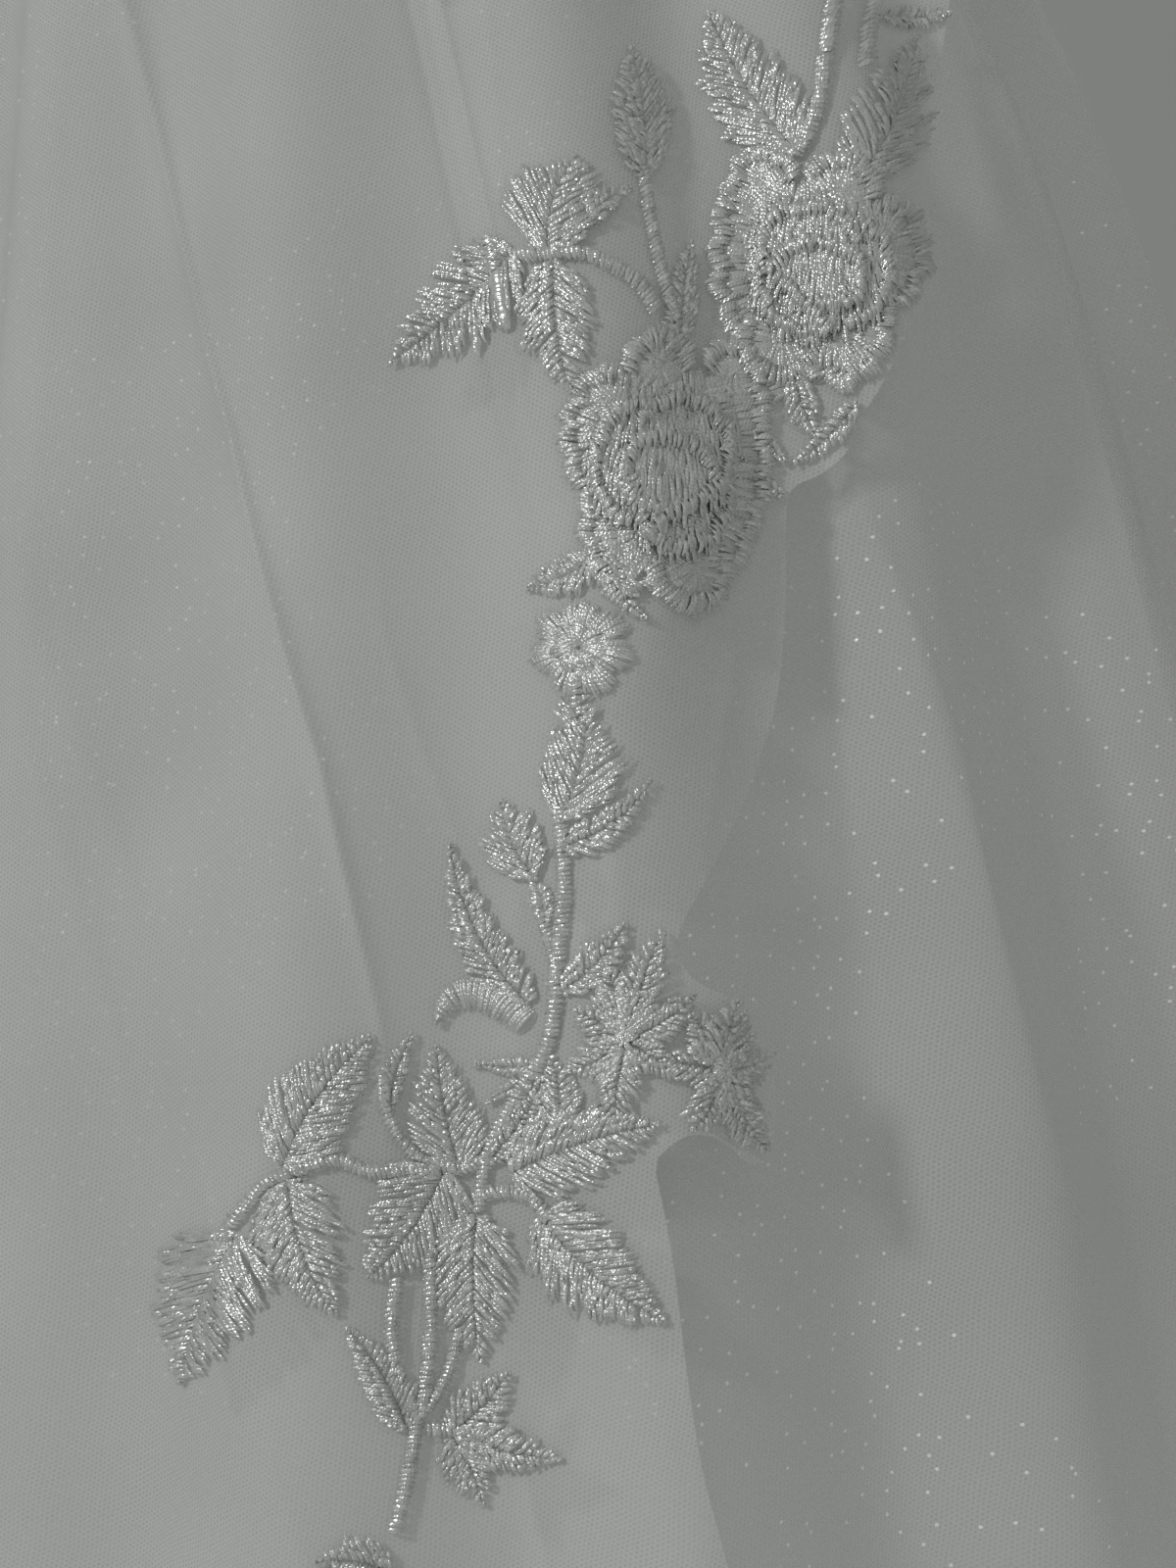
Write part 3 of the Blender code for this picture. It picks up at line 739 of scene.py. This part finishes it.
def stitch_star(work, centre, tips):
    """A star-shaped flower: narrow petals from a middle, each a small leaf of stitches."""
    centre = np.array(centre, float)
    for k, (x, y, width, bend) in enumerate(tips):
        tip = np.array((x, y), float)
        way = (tip - centre) / np.hypot(*(tip - centre))
        stitch_leaf(work, centre + way * 4, tip, width, bend, 3, 0.10, STAR_LEVEL + 0.8 * (k % 2), 1.1, 0.86)
    for _ in range(int(70 / work.spacing)):
        way = rng.normal(size=2)
        way = way / np.hypot(*way)
        work.add(centre - way * 3, centre + way * 13, 0.5, work.spacing * 1.1,
                 STAR_LEVEL + 2.4, STAR_LEVEL + 1.6, 2.0)


# base_x, base_y, tip_x, tip_y, width, bend, teeth, depth, slant, blunt
LEAVES = (
    (812, 162, 722, 12, 84, -8, 6, 0.20, 1.0, 0.74),
    (868, 186, 926, 42, 82, 8, 6, 0.20, 1.0, 0.74),
    (884, 22, 964, 18, 24, 3, 2, 0.05, 0.8, 0.80),
    (656, 186, 642, 50, 58, 4, 3, 0.08, 1.2, 0.92),
    (526, 258, 398, 372, 86, -6, 6, 0.18, 0.8, 0.62),
    (560, 262, 588, 162, 96, -10, 3, 0.14, 1.1, 1.05),
    (600, 226, 642, 196, 34, -6, 2, 0.06, 0.9, 0.66),
    (566, 270, 584, 402, 72, 6, 4, 0.12, 1.0, 0.78),
    (690, 354, 702, 252, 36, -4, 2, 0.06, 1.0, 0.80),
    (806, 386, 832, 450, 36, 3, 2, 0.05, 0.8, 0.72),
    (872, 414, 806, 476, 26, -5, 3, 0.10, 0.8, 0.72),
    (796, 474, 752, 436, 15, 3, 2, 0.05, 0.7, 0.75),
    (796, 508, 750, 470, 16, -3, 2, 0.05, 0.7, 0.75),
    (606, 574, 540, 602, 42, -4, 3, 0.06, 0.7, 0.74),
    (610, 562, 656, 636, 30, 4, 3, 0.10, 0.9, 0.70),
    (590, 742, 592, 708, 44, 0, 3, 0.10, 0.9, 0.95),
    (576, 838, 600, 724, 78, 8, 4, 0.08, 1.4, 0.92),
    (574, 866, 662, 796, 36, 12, 4, 0.10, 0.9, 0.60),
    (549, 896, 514, 818, 60, -6, 4, 0.14, 1.2, 0.92),
    (560, 942, 546, 890, 24, 2, 2, 0.05, 0.8, 0.80),
    (540, 1022, 462, 860, 52, -16, 8, 0.16, 0.9, 0.55),
    (580, 1010, 640, 940, 42, 5, 3, 0.04, 1.0, 0.80),
    (554, 1086, 486, 1084, 20, -3, 3, 0.08, 0.7, 0.62),
    (556, 1100, 500, 1124, 20, 3, 3, 0.08, 0.7, 0.62),
    (576, 1150, 566, 1076, 42, 4, 3, 0.10, 0.9, 0.80),
    (500, 1186, 560, 1096, 30, 6, 3, 0.05, 0.8, 0.70),
    (526, 1196, 674, 1146, 84, -8, 6, 0.14, 1.0, 0.60),
    (472, 1196, 447, 1066, 70, -5, 5, 0.20, 1.0, 0.66),
    (396, 1132, 422, 1054, 26, -4, 2, 0.05, 0.8, 0.76),
    (290, 1192, 384, 1056, 84, -12, 5, 0.10, 1.0, 0.66),
    (246, 1260, 190, 1412, 106, 8, 6, 0.16, 0.8, 0.60),
    (296, 1206, 344, 1342, 84, 10, 4, 0.10, 1.0, 0.62),
    (456, 1190, 374, 1306, 98, -8, 6, 0.18, 0.9, 0.60),
    (488, 1240, 492, 1390, 82, 5, 6, 0.18, 1.1, 0.66),
    (556, 1240, 678, 1346, 88, 8, 6, 0.16, 0.9, 0.62),
    (416, 1456, 354, 1354, 48, 6, 4, 0.10, 0.8, 0.62),
    (462, 1460, 522, 1398, 52, 5, 4, 0.16, 1.0, 0.72),
    (468, 1464, 576, 1486, 48, 4, 4, 0.14, 0.9, 0.66),
    (464, 1466, 494, 1534, 56, -4, 4, 0.16, 0.9, 0.70),
    (398, 1602, 324, 1592, 50, 5, 4, 0.14, 0.8, 0.70),
    (404, 1604, 404, 1672, 44, 4, 4, 0.14, 0.8, 0.70),
)
# The curled leaf's line
HOOK = ((540, 1040), (514, 1018), (484, 1010), (458, 1020), (444, 1048))
# width and line of each stem
STEMS = (
    (16, ((846, 0), (838, 60), (828, 120), (806, 168))),
    (16, ((884, -4), (876, 34), (874, 76))),
    (13, ((654, 176), (660, 220), (672, 280), (688, 340))),
    (16, ((524, 262), (560, 262), (600, 262), (646, 288), (668, 322))),
    (16, ((592, 702), (590, 724))),
    (16, ((574, 826), (578, 900), (574, 960), (568, 1012))),
    (13, ((556, 936), (566, 966), (572, 1000))),
    (16, ((570, 1008), (562, 1064), (530, 1120), (500, 1176), (490, 1240))),
    (13, ((394, 1128), (412, 1166), (446, 1192))),
    (16, ((446, 1194), (378, 1196), (350, 1184), (312, 1190))),
    (16, ((314, 1190), (272, 1210), (236, 1254))),
    (16, ((488, 1222), (516, 1214), (546, 1222), (564, 1244))),
    (16, ((406, 1306), (400, 1350), (404, 1390))),
    (16, ((440, 1276), (440, 1360), (430, 1452))),
    (13, ((470, 1356), (458, 1400), (434, 1442))),
    (16, ((426, 1446), (416, 1510), (402, 1566))),
    (16, ((438, 1458), (474, 1460), (504, 1464))),
    (16, ((500, 1180), (476, 1192), (446, 1188))),
)
# middle of each star, then its petals: tip_x, tip_y, width, bend
STAR_ONE = ((640, 1062), ((618, 984, 46, 4), (674, 950, 44, -3), (706, 1016, 40, 4), (588, 1030, 44, 4),
                          (580, 1092, 42, -4), (630, 1142, 46, 3), (690, 1100, 34, -3)))
STAR_TWO = ((734, 1094), ((700, 1034, 44, 4), (748, 1022, 52, -4), (782, 1078, 44, 3), (778, 1176, 42, 5),
                          (752, 1158, 32, 3), (704, 1154, 42, -4), (672, 1084, 38, 3)))


def draw_spray(spacing, first, last):
    """All stitches of the spray between two levels of the drawing."""
    work = Stitches(spacing)

    def wanted(*levels):
        return first < min(levels) and max(levels) < last

    for width, line in STEMS:
        if wanted(line[0][1], line[-1][1]):
            stitch_stem(work, line, width)
    for x, y, tip_x, tip_y, width, bend, teeth, depth, slant, blunt in LEAVES:
        if wanted(y, tip_y):
            stitch_leaf(work, (x, y), (tip_x, tip_y), width, bend, teeth, depth, LEAF_LEVEL, slant, blunt)
    if wanted(HOOK[0][1]):
        line = smooth_line(HOOK)
        count = int(line_length(line) / work.spacing * 1.1)
        for share in np.linspace(0, 1, count):
            middle, along = curve_at(line, share)
            half = 21 * math.sin(math.pi * (0.35 + 0.65 * share) ** 1.2) ** 0.6 * (1 + rng.normal() * 0.05)
            side = turned(along) * max(half, 3.0)
            work.add(middle - side, middle + side * 0.7, rng.normal(), work.spacing * 1.15, 1.4, 1.4, 4.6)
    if wanted(280):
        stitch_rose(work, (832, 280), 108, 124, 0)
    if wanted(480):
        stitch_rose(work, (674, 482), 103, 146, 12, -1)
    if wanted(660):
        stitch_flower(work, (594, 664), 52, 7, 12)
    if wanted(1050):
        stitch_star(work, *STAR_ONE)
        stitch_star(work, *STAR_TWO)
    return np.array(work.rows)


def build_stitches(name, rows, placing, steps, material):
    """Half-round strands that rise from the cloth, from their rows."""
    count, cross = len(rows), STRAND_POINTS
    start, end = rows[:, None, 0:2], rows[:, None, 2:4]
    bow, width, foot, other_foot, crown = (rows[:, k][:, None] for k in range(4, 9))
    t = np.linspace(0, 1, steps + 1)[None, :]
    chord = end - start
    length = np.linalg.norm(chord, axis=-1)
    side = np.stack([-chord[..., 1], chord[..., 0]], axis=-1) / np.maximum(length, 1e-6)[..., None]
    middle = start + chord * t[..., None] + side * (bow * np.sin(math.pi * t))[..., None]
    fat = 0.42 + 0.58 * np.sin(math.pi * t) ** 0.6
    rise = foot + (other_foot - foot) * t + crown * np.sin(math.pi * t) ** 0.75
    turns = np.radians(np.linspace(-80, 80, cross))
    offset = np.sin(turns)[None, None, :] * (width * fat / 2)[..., None]
    height = rise[..., None] + np.cos(turns)[None, None, :] * (width * fat / 2)[..., None] * 0.9
    places = middle[:, :, None, :] + side[:, :, None, :] * offset[..., None]
    across, drop = placing.cloth(places)
    points, normals = upper.point_and_normal(across, drop)
    points = points + normals * (height * PLACE + NET_THICK / 2)[..., None]
    per = (steps + 1) * cross
    quads = grid_quads(steps + 1, cross)
    if placing.side < 0:
        quads = quads[:, ::-1]
    faces = (quads[None] + (np.arange(count) * per)[:, None, None]).reshape(-1, 4)
    number = np.arange(count)[:, None, None] * 0.013
    u = number + np.linspace(0, 1, cross)[None, None, :] * 0.0008 + np.zeros((1, steps + 1, 1))
    v = (t * length * PLACE)[..., None] + np.zeros((1, 1, cross)) + number * 1.7
    uvs = np.stack([u, v], axis=-1).reshape(-1, 2)
    return make_mesh(name, points.reshape(-1, 3), faces, uvs, material)


# Materials

class Nodes:
    """A short way to add and link shader nodes."""

    def __init__(self, name):
        self.material = bpy.data.materials.new(name)
        self.material.use_nodes = True
        self.tree = self.material.node_tree
        self.shader = self.tree.nodes["Principled BSDF"]

    def node(self, kind, **values):
        node = self.tree.nodes.new(kind)
        for key, value in values.items():
            setattr(node, key, value)
        return node

    def link(self, out, socket):
        self.tree.links.new(out, socket)

    def math(self, operation, *values, clamp=False):
        node = self.node("ShaderNodeMath", operation=operation, use_clamp=clamp)
        for socket, value in zip(node.inputs, values):
            if isinstance(value, (int, float)):
                socket.default_value = value
            else:
                self.link(value, socket)
        return node.outputs[0]

    def dot(self, vector, direction):
        node = self.node("ShaderNodeVectorMath", operation="DOT_PRODUCT")
        self.link(vector, node.inputs[0])
        node.inputs[1].default_value = direction
        return node.outputs["Value"]

    def noise(self, vector, scale, detail, roughness, dimensions="3D"):
        node = self.node("ShaderNodeTexNoise", noise_dimensions=dimensions)
        self.link(vector, node.inputs["Vector"])
        node.inputs["Scale"].default_value = scale
        node.inputs["Detail"].default_value = detail
        node.inputs["Roughness"].default_value = roughness
        return node.outputs["Fac"]

    def uv(self):
        return self.node("ShaderNodeUVMap", uv_map="UVMap").outputs[0]

    def object_place(self):
        return self.node("ShaderNodeTexCoord").outputs["Object"]

    def colour(self, share, low, high):
        """The shader's colour, between two by a share."""
        node = self.node("ShaderNodeMix", data_type="RGBA")
        self.link(share, node.inputs["Factor"])
        node.inputs[6].default_value = (*low, 1)
        node.inputs[7].default_value = (*high, 1)
        self.link(node.outputs[2], self.shader.inputs["Base Color"])

    def roughness(self, share, change, start):
        self.link(self.math("MULTIPLY_ADD", share, change, start), self.shader.inputs["Roughness"])

    def bump(self, height, strength, distance):
        node = self.node("ShaderNodeBump")
        self.link(height, node.inputs["Height"])
        node.inputs["Strength"].default_value = strength
        node.inputs["Distance"].default_value = distance
        self.link(node.outputs[0], self.shader.inputs["Normal"])

    def set(self, **values):
        for key, value in values.items():
            self.shader.inputs[key.replace("_", " ")].default_value = value


NET_ROUGHNESS = 0.62


def net_material(name, pitch, cover, sparkle):
    """Hexagonal net: three waves at 60 degrees leave round holes between fine threads."""
    n = Nodes(name)
    uv = n.uv()
    wobble = n.node("ShaderNodeVectorMath", operation="SCALE")
    wobble.inputs[0].default_value = (0.0010, -0.0010, 0.0)
    n.link(n.noise(uv, 90.0, 0.0, 0.5, "2D"), wobble.inputs["Scale"])
    moved = n.node("ShaderNodeVectorMath", operation="ADD")
    n.link(uv, moved.inputs[0])
    n.link(wobble.outputs[0], moved.inputs[1])
    place = moved.outputs[0]
    rate = 2 * math.pi / (pitch * math.sqrt(3) / 2)
    waves = None
    for angle in (0, 60, 120):
        way = (rate * math.cos(math.radians(angle)), rate * math.sin(math.radians(angle)), 0.0)
        wave = n.math("COSINE", n.dot(place, way))
        waves = wave if waves is None else n.math("ADD", waves, wave)
    mesh = n.math("MULTIPLY", waves, -0.052)
    patches = n.math("MULTIPLY", n.math("SUBTRACT", n.noise(uv, 22.0, 1.0, 0.6, "2D"), 0.5), 0.22)
    density = n.math("ADD", n.math("ADD", mesh, cover), patches, clamp=True)
    if sparkle:
        # Glitter specks on the tulle: being opaque and glossier is real, but their white base colour is a
        # painted highlight that stands in for their glints.
        cells = n.node("ShaderNodeTexVoronoi", voronoi_dimensions="2D")
        n.link(uv, cells.inputs["Vector"])
        cells.inputs["Scale"].default_value = 260.0
        near = n.math("LESS_THAN", cells.outputs["Distance"], 0.075)
        tone = n.node("ShaderNodeSeparateColor")
        n.link(cells.outputs["Color"], tone.inputs[0])
        chosen = n.math("GREATER_THAN", tone.outputs[0], 0.45)
        streak = n.math("GREATER_THAN", n.noise(uv, 14.0, 0.0, 0.5, "2D"), 0.52)
        glitter_painted_glint = n.math("MULTIPLY", n.math("MULTIPLY", near, chosen), streak)
        density = n.math("MAXIMUM", density, glitter_painted_glint)
        n.colour(glitter_painted_glint, (0.74, 0.745, 0.72), (1, 1, 1))
        n.roughness(glitter_painted_glint, -0.40, NET_ROUGHNESS)
    else:
        n.colour(n.noise(uv, 30.0, 0.0, 0.6, "2D"), (0.74, 0.755, 0.745), (0.80, 0.80, 0.78))
        n.set(Roughness=NET_ROUGHNESS)
    n.link(density, n.shader.inputs["Alpha"])
    n.bump(waves, 0.25, 0.00008)
    n.set(Sheen_Weight=0.40, Sheen_Roughness=0.45)
    return n.material


def thread_material():
    """Glossy satin stitches: each strand has its own tone and a fine twist."""
    n = Nodes("satin_thread")
    uv = n.uv()
    n.colour(n.noise(uv, 130.0, 2.0, 0.6, "2D"), (0.42, 0.43, 0.42), (0.98, 0.99, 0.98))
    twist = n.math("SINE", n.dot(uv, (5200.0, 9500.0, 0.0)))
    fibres = n.noise(uv, 2600.0, 1.0, 0.7, "2D")
    height = n.math("ADD", n.math("MULTIPLY", twist, 0.35), fibres)
    n.bump(height, 0.7, 0.00012)
    n.roughness(n.noise(uv, 900.0, 1.0, 0.5, "2D"), 0.22, 0.13)
    n.set(Metallic=0.5, Specular_IOR_Level=0.8)
    return n.material


def ribbon_material():
    """Woven satin ribbon."""
    n = Nodes("satin_binding")
    place = n.object_place()
    warp = n.math("SINE", n.dot(place, (9000.0, 600.0, 600.0)))
    weft = n.math("SINE", n.dot(place, (0.0, 5200.0, 5200.0)))
    weave = n.math("ADD", n.math("MULTIPLY", warp, 0.3), n.math("ADD", weft, n.noise(place, 400.0, 3.0, 0.6)))
    n.bump(weave, 0.35, 0.00008)
    n.colour(n.noise(place, 160.0, 3.0, 0.6), (0.74, 0.74, 0.72), (0.88, 0.88, 0.86))
    n.set(Roughness=0.38, Sheen_Weight=0.3, Sheen_Roughness=0.4)
    return n.material


def comb_material():
    """Clear moulded plastic."""
    n = Nodes("clear_comb")
    place = n.object_place()
    n.bump(n.noise(place, 700.0, 3.0, 0.6), 0.15, 0.00008)
    n.roughness(n.noise(place, 260.0, 2.0, 0.5), 0.14, 0.06)
    n.colour(n.noise(place, 90.0, 2.0, 0.5), (0.86, 0.88, 0.88), (0.94, 0.95, 0.95))
    n.set(Transmission_Weight=0.75, IOR=1.49)
    return n.material


def floor_material():
    n = Nodes("pale_floor")
    n.colour(n.noise(n.object_place(), 3.0, 2.0, 0.5), (0.78, 0.78, 0.765), (0.82, 0.82, 0.805))
    n.set(Roughness=0.9)
    return n.material


# Binding stitches that hold the heading to the comb

def build_binding(material):
    """Thread passed round the spine and the heading, between the teeth."""
    pitch = COMB_WIDTH / (TOOTH_COUNT - 1 + TOOTH_SHARE)
    gap_middle = (1 + TOOTH_SHARE) / 2
    loop = ((0.0026, -0.0012), (0.0030, 0.0), (0.0026, 0.0012), (-0.0024, 0.0042), (-0.0088, 0.0043),
            (-0.0109, 0.0024), (-0.0112, 0.0), (-0.0109, -0.0024), (-0.0088, -0.0043), (-0.0024, -0.0042))
    rings, ring, radius = len(loop), 6, 0.00022
    points, faces, uvs = [], [], []
    for k in range(TOOTH_COUNT - 1):
        x = -COMB_WIDTH / 2 + (k + gap_middle) * pitch
        first = len(points)
        for step, (y, z) in enumerate(loop):
            before, after = loop[step - 1], loop[(step + 1) % rings]
            along = np.array((after[0] - before[0], after[1] - before[1]))
            out = np.array((along[1], -along[0])) / np.hypot(*along)
            for turn in range(ring):
                angle = 2 * math.pi * turn / ring
                lean = 0.0006 * math.sin(2 * math.pi * step / rings + k)
                points.append((x + lean + radius * math.cos(angle), y + out[0] * radius * math.sin(angle),
                               z + out[1] * radius * math.sin(angle)))
                uvs.append((k * 0.013 + turn / ring * 0.0008, step * 0.003))
        for step in range(rings):
            for turn in range(ring):
                a = first + step * ring + turn
                b = first + step * ring + (turn + 1) % ring
                c = first + (step + 1) % rings * ring + (turn + 1) % ring
                d = first + (step + 1) % rings * ring + turn
                faces.append((a, b, c, d))
    return make_mesh("comb_binding", points, faces, uvs, material)


# Make the pieces

upper_net = build_upper(net_material("fine_net", 0.00078, 0.44, False))
lower_net = build_lower(net_material("sparkle_tulle", 0.00082, 0.37, True))
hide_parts("tier_upper")
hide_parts("tier_lower")
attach(upper_net, "root")
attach(lower_net, "root")

thread = thread_material()
for (word, number), placing in placings.items():
    node = f"spray_{word}_{number}"
    if placing is view_placing:
        first, between, last = PICTURE_SPRAY
        parts = (("top", first, between), ("foot", between, last))
        spacing, steps = 3.3, 5
    else:
        parts = (("thread", *(TOP_SPRAY if number == 3 else WHOLE_SPRAY)),)
        spacing, steps = 5.6, 3
    for part, first, last in parts:
        piece = build_stitches(f"{node}_{part}", draw_spray(spacing, first, last), placing, steps, thread)
        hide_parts(node)
        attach(piece, "root")

binding = build_binding(thread)
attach(binding, "root")

for node, material in (("comb", comb_material()), ("heading", ribbon_material())):
    bpy.data.objects[node].material_slots[0].material = material


# Floor, light and camera

FLOOR_LEVEL = -1.07
FLOOR_RADIUS = 3.4
WALL_CURVE = 1.6
WALL_HEIGHT = 4.5


def build_floor():
    """A round floor that rises smoothly into a wall all round."""
    profile = [(0.0, 0.0), (1.2, 0.0), (2.4, 0.0), (FLOOR_RADIUS, 0.0)]
    for step in range(1, 13):
        angle = math.pi / 2 * step / 12
        profile.append((FLOOR_RADIUS + WALL_CURVE * math.sin(angle), WALL_CURVE * (1 - math.cos(angle))))
    profile.append((FLOOR_RADIUS + WALL_CURVE, WALL_HEIGHT))
    around = 96
    points, faces, uvs = [], [], []
    for radius, height in profile:
        for k in range(around):
            angle = 2 * math.pi * k / around
            points.append((radius * math.cos(angle), radius * math.sin(angle), FLOOR_LEVEL + height))
            uvs.append((radius, k / around))
    for row in range(len(profile) - 1):
        for k in range(around):
            a = row * around + k
            b = row * around + (k + 1) % around
            faces.append((a, a + around, b + around, b))
    return make_mesh("floor", points, faces, uvs, floor_material())


def add_light(name, place, target, size, power):
    light = bpy.data.lights.new(name, "AREA")
    light.shape = "DISK"
    light.size = size
    light.energy = power
    thing = bpy.data.objects.new(name, light)
    thing.location = place
    thing.rotation_euler = (Vector(target) - Vector(place)).to_track_quat("-Z", "Y").to_euler()
    thing.visible_camera = False
    scene.collection.objects.link(thing)


build_floor()
centre = Vector(anchor)
back, right, above = view_placing.back, view_placing.right, Vector((0, 0, 1))
add_light("key", centre + back * 1.2 - right * 1.6 + above * 1.1, centre, size=0.30, power=16.5)
add_light("fill", centre + back * 2.0 + right * 1.2 + above * 0.6, centre, size=2.2, power=3.0)

world = bpy.data.worlds.new("soft_room")
world.use_nodes = True
room = world.node_tree.nodes["Background"]
room.inputs["Color"].default_value = (0.96, 1.0, 0.98, 1.0)
room.inputs["Strength"].default_value = 0.295
scene.world = world
scene.view_settings.view_transform = "Standard"

camera = bpy.data.objects.new("camera", bpy.data.cameras.new("camera"))
camera.location = view_placing.eye
camera.rotation_euler = (math.pi / 2, 0.0, CAMERA_AZIMUTH)
camera.data.sensor_width = 36.0
camera.data.lens = 18.0 * CAMERA_DISTANCE / (PICTURE_MIDDLE[1] * PLACE)
camera.data.clip_start = 0.01
scene.collection.objects.link(camera)
scene.camera = camera
